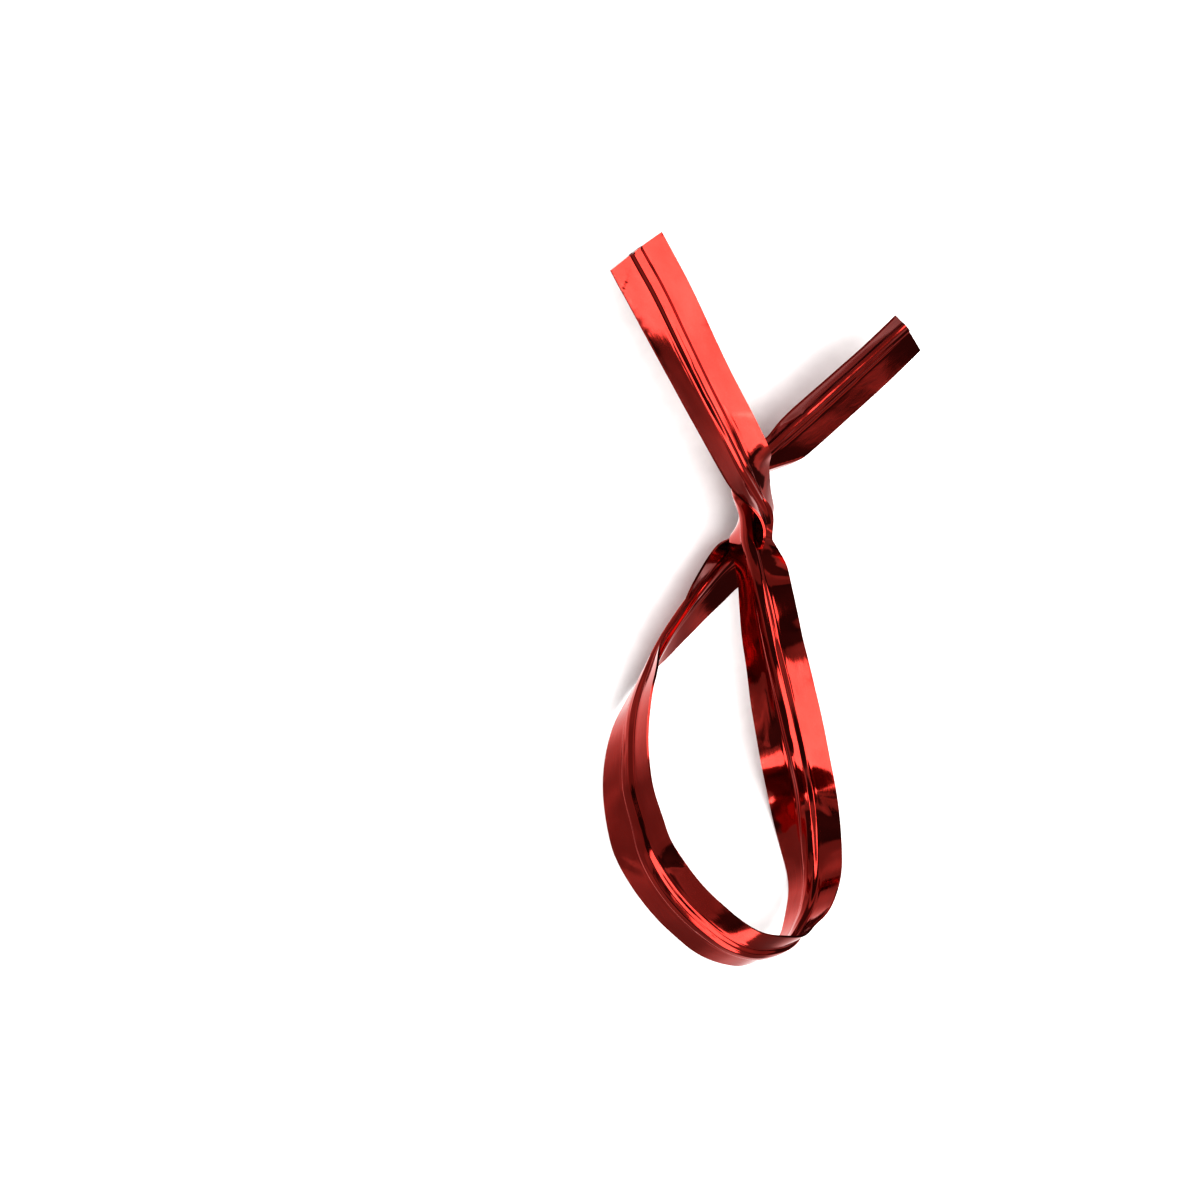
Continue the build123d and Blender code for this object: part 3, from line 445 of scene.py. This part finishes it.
def relief(s, u):
    """How far the laminate stands off its even course, mm towards the front face."""
    wing = smooth(0.45, 1.1, np.abs(u))
    side = np.where(u < 0, 0.0, 40.0)
    reach = np.abs(u) / 2.1
    w = 0.03 * noise(s / 5.5, side + 3.1, 3) * reach**1.6
    w = w + 0.014 * noise(s / 2.3 + u * 0.35, side + u * 0.25, 7) * reach
    w = w + 0.0035 * noise(s / 0.9 + u * 0.3, side + u * 0.6, 11) * smooth(0.3, 0.9, reach)
    w = w * wing
    cup = np.where(u < 0, swell(s, CUPS["a"]), swell(s, CUPS["b"]))
    w = w + cup * np.clip(np.abs(u) - 0.6, 0, None) ** 2
    for s0, u0, s1, u1, slope, fade in FOLDS:
        length = math.hypot(s1 - s0, u1 - u0)
        d = ((s - s0) * (u1 - u0) - (u - u0) * (s1 - s0)) / length * (-1 if u0 + u1 > 0 else 1)
        soft = 0.5 * (d + np.sqrt(d * d + 0.0025))
        near = smooth(s0 - fade, s0, s) * (1 - smooth(s1, s1 + fade, s)) * (u * (u0 + u1) > 0)
        w = w + slope * soft * near
    for s0, u0, s1, u1, depth, half in CREASES:
        ds, du = s1 - s0, u1 - u0
        k = np.clip(((s - s0) * ds + (u - u0) * du) / (ds * ds + du * du), 0, 1)
        d = np.hypot(s - s0 - k * ds, u - u0 - k * du) / half
        w = w + depth * np.where(d < 3, np.exp(-d * d), 0) * (0.35 + 0.65 * np.sin(np.pi * np.clip(k, 0.05, 0.95)))
    return w


def ridge(s, u):
    """Height of a film's outer face over the laminate's middle plane, mm."""
    flat = ADHESIVE / 2 + FILM
    d = np.abs(u - 0.03 * noise(s / 3.0, 0 * s, 21))
    h = flat + (RIDGE_HEIGHT - flat) * (1 - smooth(0.27, 0.56, d))
    h = h + 0.008 * np.exp(-((d - 0.68) / 0.05) ** 2) - 0.015 * np.clip(d / 0.27, 0, 1) ** 2 * (d < 0.27)
    return h + 0.006 * noise(s / 0.8, u / 0.5, 23) * (d < 0.7)


# stretches where a wing is gathered up inside the twist: (s, half length, share lost)
GATHERS = {"a": [(86.4, 0.8, 0.35)], "b": [(86.2, 0.8, 0.55), (21.8, 1.15, 0.5)]}
# a wing swung about the wire: (s, half length, degrees), positive towards the front face
SWINGS = {"a": [], "b": [(45.8, 2.2, 5.0)]}


# sharp folds: beyond the line (s0, u0)-(s1, u1), on its outer side, the film bends by slope, fading at both ends
FOLDS = [(88.6, -0.9, 91.9, -2.25, -1.1, 0.5)]
# a wing cupped across its width: (s, half length, mm per mm squared), positive towards the front face
CUPS = {"a": [(9.0, 4.0, 0.06)], "b": [(77.0, 2.5, -0.04)]}


def swell(s, marks):
    return sum((k * np.exp(-(((s - c) / h) ** 2)) for c, h, k in marks), np.zeros_like(s))


def skew(s, u):
    """The left tail's end is cut at a slant, the right tail's end to a shallow point."""
    lean = (-0.115 * u - 0.03) * (1 - smooth(0, 3.5, s))
    lean2 = -0.10 * np.abs(u) * smooth(END - 3.5, END, s)
    return s + lean + lean2


def place(s, u, side, outer):
    """Points of a film's outer or inner face. side is +1 for the front film, -1 for the back one."""
    s = skew(s, u)
    p, t, a, b = course(s)
    w = smooth(-0.55, 0.55, u)[..., None]
    normal = unit(np.cross(a, t) * (1 - w) + np.cross(t, b) * w)
    left = u < 0
    kept = 1 - np.where(left, swell(s, GATHERS["a"]), swell(s, GATHERS["b"])) * smooth(0.5, 1.2, np.abs(u))
    turn = np.radians(np.where(left, swell(s, SWINGS["a"]), swell(s, SWINGS["b"]))) * smooth(0.5, 1.0, np.abs(u))
    reach = np.abs(u) * kept
    along = np.where(left[..., None], a, b) * (reach * np.cos(turn))[..., None]
    h = ridge(s, u) if outer else ridge(s, u) - FILM
    return p + along + normal * (relief(s, u) + reach * np.sin(turn) + side * h)[..., None]


# columns across the strip, closer together over the ridge
COLUMNS = np.concatenate([
    np.linspace(-WING_A, -0.86, 12), np.linspace(-0.78, 0.78, 31), np.linspace(0.86, WING_B, 11)])
STEP = 0.14  # mm between rows of the visual mesh


def film(name, s0, s1, side, material):
    """A closed film of real thickness between two lengths, as one mesh."""
    n = max(2, int(round((s1 - s0) / STEP))) + 1
    s = np.linspace(s0, s1, n)
    step = s[1] - s[0]
    wide = np.concatenate([[s0 - step * 0.5], s, [s1 + step * 0.5]])
    S, U = np.meshgrid(wide, COLUMNS, indexing="ij")
    m = len(COLUMNS)
    faces, points, normals = [], [], []
    for k, outer in enumerate((True, False)):
        g = place(S, U, side, outer)
        nrm = unit(np.cross(np.gradient(g, wide, axis=0), np.gradient(g, COLUMNS, axis=1)))
        nrm = nrm * (1 if ((nrm[n // 2, m // 4] @ frontness(s[n // 2])) * side > 0) == outer else -1)
        points.append(g[1:-1].reshape(-1, 3))
        normals.append(nrm[1:-1].reshape(-1, 3))
    idx = np.arange(n * m).reshape(n, m)
    quads = np.stack([idx[:-1, :-1], idx[1:, :-1], idx[1:, 1:], idx[:-1, 1:]], -1).reshape(-1, 4)
    back = quads[:, ::-1] + n * m
    N = n * m
    rims = []
    for line, flip in ((idx[:, 0], False), (idx[:, -1], True), (idx[0, :], True), (idx[-1, :], False)):
        q = np.stack([line[:-1], line[:-1] + N, line[1:] + N, line[1:]], -1)
        rims.append(q[:, ::-1] if flip else q)
    rim = np.concatenate(rims)
    allq = np.concatenate([quads, back, rim])
    # outward winding on the outer face
    v = np.concatenate(points)
    a, b, c = v[quads[0, 0]], v[quads[0, 1]], v[quads[0, 2]]
    if np.cross(b - a, c - a) @ normals[0][quads[0, 0]] < 0:
        allq = allq[:, ::-1]
    mesh = bpy.data.meshes.new(name)
    mesh.vertices.add(len(v))
    mesh.vertices.foreach_set("co", (v * MM).astype(np.float32).ravel())
    mesh.loops.add(allq.size)
    mesh.loops.foreach_set("vertex_index", allq.astype(np.int32).ravel())
    mesh.polygons.add(len(allq))
    mesh.polygons.foreach_set("loop_start", np.arange(0, allq.size, 4, dtype=np.int32))
    mesh.update(calc_edges=True)
    flat = np.zeros(len(allq), bool)
    flat[-len(rim):] = True
    mesh.polygons.foreach_set("use_smooth", ~flat)
    strip = mesh.attributes.new("strip", "FLOAT_VECTOR", "POINT")
    S2, U2 = S[1:-1], U[1:-1]
    data = np.stack([skew(S2, U2), U2, np.full_like(U2, side)], -1).reshape(-1, 3)
    strip.data.foreach_set("vector", np.concatenate([data, data]).astype(np.float32).ravel())
    mesh.validate()
    vn = np.concatenate(normals)
    loop_normals = np.zeros((allq.size, 3))
    per = vn[allq.ravel()]
    rim_loops = np.repeat(flat, 4)
    loop_normals[~rim_loops] = per[~rim_loops]
    mesh.normals_split_custom_set(loop_normals.tolist())
    mesh.materials.append(material)
    obj = bpy.data.objects.new(name, mesh)
    bpy.context.scene.collection.objects.link(obj)
    return obj


def frontness(s):
    p, t, a, b = course(np.array([s]))
    return unit(np.cross(a, t) + np.cross(t, b))[0]


def core(name, s0, s1, material):
    """The wire between two lengths: a round tube with faint drawing marks, closed at both ends."""
    n = max(2, int(round((s1 - s0) / (STEP * 1.6)))) + 1
    s = np.linspace(s0, s1, n)
    k = 20
    p, t, a, b = course(skew(s, 0 * s))
    x = unit(b - a)
    y = np.cross(t, x)
    ang = np.linspace(0, 2 * np.pi, k, endpoint=False)
    r = WIRE_RADIUS * (1 + 0.012 * noise(s[:, None] / 0.7 + 0 * ang, ang[None, :] * 1.5 + 0 * s[:, None], 31))
    v = p[:, None] + x[:, None] * (np.cos(ang) * r)[..., None] + y[:, None] * (np.sin(ang) * r)[..., None]
    v = v.reshape(-1, 3)
    faces = []
    for i in range(n - 1):
        for j in range(k):
            faces.append((i * k + j, i * k + (j + 1) % k, (i + 1) * k + (j + 1) % k, (i + 1) * k + j))
    faces.append(tuple(range(k))[::-1])
    faces.append(tuple((n - 1) * k + j for j in range(k)))
    mesh = bpy.data.meshes.new(name)
    mesh.from_pydata([tuple(q) for q in v * MM], [], faces)
    mesh.polygons.foreach_set("use_smooth", [len(f) == 4 for f in faces])
    strip = mesh.attributes.new("strip", "FLOAT_VECTOR", "POINT")
    data = np.stack([np.repeat(s, k), np.tile(ang * WIRE_RADIUS, n), np.zeros(n * k)], -1)
    strip.data.foreach_set("vector", data.astype(np.float32).ravel())
    mesh.materials.append(material)
    obj = bpy.data.objects.new(name, mesh)
    bpy.context.scene.collection.objects.link(obj)
    return obj


# ---------------------------------------------------------------- materials
def tree_of(name):
    m = bpy.data.materials.new(name)
    m.use_nodes = True
    t = m.node_tree
    for nd in list(t.nodes):
        if nd.type != "OUTPUT_MATERIAL":
            t.nodes.remove(nd)
    return m, t, t.nodes["Material Output"]


def node(t, kind, **kw):
    nd = t.nodes.new(kind)
    for k, v in kw.items():
        if k.startswith("in_"):
            key = k[3:].replace("_", " ")
            sock = nd.inputs[int(key)] if key.isdigit() else nd.inputs[key]
            if hasattr(v, "is_output"):
                t.links.new(v, sock)
            else:
                sock.default_value = v
        else:
            setattr(nd, k, v)
    return nd


def maths(t, op, a, b=None, c=None, clamp=False):
    nd = t.nodes.new("ShaderNodeMath")
    nd.operation = op
    nd.use_clamp = clamp
    for i, v in enumerate((a, b, c)):
        if v is None:
            continue
        if hasattr(v, "is_output"):
            t.links.new(v, nd.inputs[i])
        else:
            nd.inputs[i].default_value = v
    return nd.outputs[0]


def strip_coordinates(t, along, across, shift=(0, 0, 0)):
    """The strip's own length and width, stretched for a texture."""
    at = node(t, "ShaderNodeAttribute", attribute_name="strip")
    mp = node(t, "ShaderNodeMapping", in_Vector=at.outputs["Vector"], in_Scale=(along, across, 3.0), in_Location=shift)
    return mp.outputs[0]


def ramp(t, fac, stops):
    nd = t.nodes.new("ShaderNodeValToRGB")
    t.links.new(fac, nd.inputs[0])
    el = nd.color_ramp.elements
    while len(el) < len(stops):
        el.new(0.5)
    for e, (pos, col) in zip(el, stops):
        e.position = pos
        e.color = (*col, 1)
    return nd.outputs["Color"]


def film_material(name, shift):
    m, t, out = tree_of(name)
    # lacquer: slightly uneven density, thinner at the cut edges
    cloud = node(t, "ShaderNodeTexNoise", in_Vector=strip_coordinates(t, 0.22, 0.5, (shift, 0, 0)), in_Scale=1.0, in_Detail=4.0, in_Roughness=0.55)
    colour = ramp(t, cloud.outputs["Fac"], [(0.3, (0.36, 0.029, 0.021)), (0.55, (0.42, 0.041, 0.031)), (0.8, (0.48, 0.054, 0.043))])
    at = node(t, "ShaderNodeAttribute", attribute_name="strip")
    sep = node(t, "ShaderNodeSeparateXYZ", in_0=at.outputs["Vector"])
    off = maths(t, "ABSOLUTE", sep.outputs["Y"])
    edge = maths(t, "MULTIPLY", maths(t, "SUBTRACT", off, 1.90, clamp=True), 6.0, clamp=True)
    speck = node(t, "ShaderNodeTexNoise", in_Vector=strip_coordinates(t, 2.2, 5.0, (shift, 3, 0)), in_Scale=1.0, in_Detail=5.0, in_Roughness=0.7)
    wear = maths(t, "MULTIPLY", edge, maths(t, "GREATER_THAN", speck.outputs["Fac"], 0.56))
    mix = node(t, "ShaderNodeMix", data_type="RGBA", in_Factor=maths(t, "MULTIPLY", wear, 0.30))
    t.links.new(colour, mix.inputs["A"])
    mix.inputs["B"].default_value = (0.80, 0.16, 0.13, 1)
    # drawing streaks along the strip and fine handling marks set the gloss
    streak = node(t, "ShaderNodeTexNoise", in_Vector=strip_coordinates(t, 0.35, 14.0, (shift, 7, 0)), in_Scale=1.0, in_Detail=3.0, in_Roughness=0.6)
    grain = node(t, "ShaderNodeTexNoise", in_Vector=strip_coordinates(t, 3.0, 3.0, (shift, 1, 0)), in_Scale=1.0, in_Detail=4.0, in_Roughness=0.6)
    rough = maths(t, "ADD", 0.04, maths(t, "ADD", maths(t, "MULTIPLY", streak.outputs["Fac"], 0.05), maths(t, "MULTIPLY", grain.outputs["Fac"], 0.07)))
    # fine crumple: stretched cells, and faint streaks
    cell = node(t, "ShaderNodeTexNoise", in_Vector=strip_coordinates(t, 0.8, 1.7, (shift, 5, 0)), in_Scale=1.0, in_Detail=3.0, in_Roughness=0.5, in_Distortion=0.6)
    b1 = node(t, "ShaderNodeBump", in_Height=cell.outputs["Fac"], in_Strength=0.1, in_Distance=0.00006)
    b2 = node(t, "ShaderNodeBump", in_Height=streak.outputs["Fac"], in_Strength=0.12, in_Distance=0.00001, in_Normal=b1.outputs[0])
    bsdf = node(t, "ShaderNodeBsdfPrincipled", in_Metallic=1.0, in_Roughness=rough)
    t.links.new(mix.outputs["Result"], bsdf.inputs["Base Color"])
    t.links.new(b2.outputs[0], bsdf.inputs["Normal"])
    bsdf.inputs["Coat Weight"].default_value = 0.3
    bsdf.inputs["Coat Roughness"].default_value = 0.06
    bsdf.inputs["Coat IOR"].default_value = 1.5
    t.links.new(bsdf.outputs[0], out.inputs["Surface"])
    return m


def wire_material():
    m, t, out = tree_of("drawn_steel")
    lines = node(t, "ShaderNodeTexNoise", in_Vector=strip_coordinates(t, 0.6, 30.0), in_Scale=1.0, in_Detail=4.0, in_Roughness=0.6)
    spot = node(t, "ShaderNodeTexNoise", in_Vector=strip_coordinates(t, 1.6, 2.5, (9, 0, 0)), in_Scale=1.0, in_Detail=5.0, in_Roughness=0.65)
    colour = ramp(t, spot.outputs["Fac"], [(0.30, (0.30, 0.29, 0.28)), (0.62, (0.52, 0.51, 0.50)), (0.85, (0.60, 0.59, 0.57))])
    rough = maths(t, "ADD", 0.18, maths(t, "MULTIPLY", lines.outputs["Fac"], 0.25))
    bump = node(t, "ShaderNodeBump", in_Height=lines.outputs["Fac"], in_Strength=0.25, in_Distance=0.00001)
    bsdf = node(t, "ShaderNodeBsdfPrincipled", in_Metallic=1.0, in_Roughness=rough)
    t.links.new(colour, bsdf.inputs["Base Color"])
    t.links.new(bump.outputs[0], bsdf.inputs["Normal"])
    t.links.new(bsdf.outputs[0], out.inputs["Surface"])
    return m


front_material = film_material("red_metallised_film_front", 0.0)
back_material = film_material("red_metallised_film_back", 50.0)
steel = wire_material()

# ---------------------------------------------------------------- pieces
STRETCHES = [
    ("left_tail", 0.0, CROWN_LEFT, ["left_tail", "left_bend", "crown_left"], ("crown", "left_tail"), LEFT_HINGE),
    ("loop", CROWN_LEFT, CROWN_RIGHT, ["twist_left", "loop", "twist_right"], ("loop", "crown"), TWIST),
    ("right_tail", CROWN_RIGHT, END, ["crown_right", "right_bend", "right_tail"], ("crown", "right_tail"), RIGHT_HINGE),
]
for stretch, s0, s1, groups, pair, (start, end) in STRETCHES:
    made = [
        (film(stretch + "_front_foil", s0, s1, 1, front_material), "front_film"),
        (film(stretch + "_back_foil", s0, s1, -1, back_material), "back_film"),
        (core(stretch + "_core", s0, s1, steel), "wire"),
    ]
    for obj, part in made:
        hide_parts(*[g + "_" + part for g in groups])
        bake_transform(obj)

# ---------------------------------------------------------------- floor
m, t, out = tree_of("pale_paper_floor")
tc = node(t, "ShaderNodeTexCoord")
fine = node(t, "ShaderNodeTexNoise", in_Vector=tc.outputs["Object"], in_Scale=900.0, in_Detail=3.0)
colour = ramp(t, fine.outputs["Fac"], [(0.3, (0.88,) * 3), (0.7, (0.92,) * 3)])
bsdf = node(t, "ShaderNodeBsdfPrincipled", in_Roughness=0.9)
bsdf.inputs["Specular IOR Level"].default_value = 0.1
t.links.new(colour, bsdf.inputs["Base Color"])
t.links.new(bsdf.outputs[0], out.inputs["Surface"])
size = 1.6
mesh = bpy.data.meshes.new("floor")
mesh.from_pydata([(-size, -size, 0), (size, -size, 0), (size, size, 0), (-size, size, 0)], [], [(0, 1, 2, 3)])
mesh.materials.append(m)
floor = bpy.data.objects.new("floor", mesh)
floor.location.z = -0.00002
bpy.context.scene.collection.objects.link(floor)
floor.visible_glossy = False

# ---------------------------------------------------------------- studio
world = bpy.data.worlds.new("studio")
bpy.context.scene.world = world
world.use_nodes = True
t = world.node_tree
t.nodes.clear()
out = t.nodes.new("ShaderNodeOutputWorld")
tc = node(t, "ShaderNodeTexCoord")
direction = tc.outputs["Generated"]


def dot(a, vec):
    nd = node(t, "ShaderNodeVectorMath", operation="DOT_PRODUCT", in_0=a)
    nd.inputs[1].default_value = vec
    return nd.outputs["Value"]


def polar(x, y):
    """Direction from a zenith angle given as x, y in degrees, as on a dome seen from above."""
    z = math.radians(math.hypot(x, y))
    a = math.atan2(y, x)
    return Vector((math.sin(z) * math.cos(a), math.sin(z) * math.sin(a), math.cos(z)))


wobble = node(t, "ShaderNodeTexNoise", in_Vector=direction, in_Scale=7.0, in_Detail=2.0).outputs["Fac"]


def panel(x, y, turn, half_x, half_y, strength, soft=0.06, wavy=0.0):
    """A lit panel on the dome: centre in polar degrees, turned, with half sizes in degrees."""
    d = polar(x, y)
    ex = Vector((math.cos(math.radians(turn)), math.sin(math.radians(turn)), 0))
    ex = (ex - d * ex.dot(d)).normalized()
    ey = d.cross(ex)
    facing = dot(direction, d)
    safe = maths(t, "MAXIMUM", facing, 0.05)
    px = maths(t, "ABSOLUTE", maths(t, "DIVIDE", dot(direction, ex), safe))
    py = maths(t, "ABSOLUTE", maths(t, "DIVIDE", dot(direction, ey), safe))
    if wavy:
        shift = maths(t, "MULTIPLY", maths(t, "SUBTRACT", wobble, 0.5), wavy)
        px = maths(t, "ADD", px, shift)
        py = maths(t, "ADD", py, shift)
    hx, hy = math.tan(math.radians(half_x)), math.tan(math.radians(half_y))
    def gate(v, h):
        nd = node(t, "ShaderNodeMapRange", interpolation_type="SMOOTHSTEP")
        t.links.new(v, nd.inputs["Value"])
        nd.inputs["From Min"].default_value = h + soft / 2
        nd.inputs["From Max"].default_value = h - soft / 2
        return nd.outputs["Result"]
    mask = maths(t, "MULTIPLY", gate(px, hx), gate(py, hy))
    mask = maths(t, "MULTIPLY", mask, maths(t, "GREATER_THAN", facing, 0.05))
    return maths(t, "MULTIPLY", mask, strength)


FLAGS = [
    panel(24, 32, 35, 42, 13, 0.84, soft=0.10, wavy=0.20),
    panel(-29, -5, 0, 15, 20, 0.84, soft=0.10, wavy=0.20),
    panel(65, -36, -10, 40, 13, 0.86, soft=0.10, wavy=0.30),
    panel(-40, -58, 30, 17, 15, 0.82, soft=0.10, wavy=0.30),
    panel(6, 66, 12, 32, 15, 0.80, soft=0.10, wavy=0.30),
]
PANELS = [
    panel(21, 7.5, 20, 36, 10.5, 2.5, soft=0.05, wavy=0.08),
    panel(-2, -49.5, 4, 11.5, 40.5, 2.5, soft=0.05, wavy=0.08),
]
surround = node(t, "ShaderNodeTexNoise", in_Vector=direction, in_Scale=1.6, in_Detail=2.0, in_Roughness=0.4).outputs["Fac"]
level = node(t, "ShaderNodeMapRange", interpolation_type="SMOOTHSTEP")
t.links.new(surround, level.inputs["Value"])
level.inputs["From Min"].default_value = 0.35
level.inputs["From Max"].default_value = 0.65
level.inputs["To Min"].default_value = 0.3
level.inputs["To Max"].default_value = 0.62
ground = node(t, "ShaderNodeMapRange", interpolation_type="SMOOTHSTEP")
t.links.new(dot(direction, (0, 0, 1)), ground.inputs["Value"])
ground.inputs["From Min"].default_value = -0.42
ground.inputs["From Max"].default_value = -0.85
ground.inputs["To Min"].default_value = 0.0
ground.inputs["To Max"].default_value = 0.55
light = level.outputs["Result"]
for f in FLAGS:
    light = maths(t, "MULTIPLY", light, maths(t, "SUBTRACT", 1.0, f))
for p in PANELS + [ground.outputs["Result"]]:
    light = maths(t, "ADD", light, p)
ray = node(t, "ShaderNodeLightPath")
seen = node(t, "ShaderNodeBackground")
seen.inputs["Color"].default_value = (0.93, 0.93, 0.93, 1)
lit = node(t, "ShaderNodeBackground")
lit.inputs["Color"].default_value = (1.0, 0.985, 0.97, 1)
t.links.new(light, lit.inputs["Strength"])
mix = t.nodes.new("ShaderNodeMixShader")
t.links.new(ray.outputs["Is Camera Ray"], mix.inputs[0])
t.links.new(lit.outputs[0], mix.inputs[1])
t.links.new(seen.outputs[0], mix.inputs[2])
t.links.new(mix.outputs[0], out.inputs["Surface"])
world.cycles.sampling_method = "MANUAL"
world.cycles.sample_map_resolution = 1024

bpy.context.scene.view_settings.view_transform = "Standard"
bpy.context.scene.view_settings.look = "High Contrast"
bpy.context.scene.view_settings.exposure = 0.0

# broad overhead fill for the floor, left out of the film's reflections
fill = bpy.data.lights.new("fill", "AREA")
fill.shape = "DISK"
fill.size = 1.4
fill.energy = 9.0
overhead = bpy.data.objects.new("fill", fill)
overhead.location = (-0.1, 0.05, 0.9)
overhead.visible_glossy = False
bpy.context.scene.collection.objects.link(overhead)

# ---------------------------------------------------------------- camera
right = Vector((0.9422858932, 0.0064464709, 0.3347472754))
up = Vector((0.0, 0.9998146216, -0.0192541548))
back = Vector((-0.3348093419, 0.0181429185, 0.9421112138))
aim = Vector((-9.2325, 0.0645, 0.3387)) * MM
data = bpy.data.cameras.new("camera")
data.sensor_width = 36.0
data.lens = 36.0 / 0.07284
data.clip_start, data.clip_end = 0.05, 20.0
camera = bpy.data.objects.new("camera", data)
rot = Matrix((right, up, back)).transposed()
camera.matrix_world = Matrix.Translation(aim + back * 1.0) @ rot.to_4x4()
bpy.context.scene.collection.objects.link(camera)
bpy.context.scene.camera = camera

bpy.context.view_layer.update()
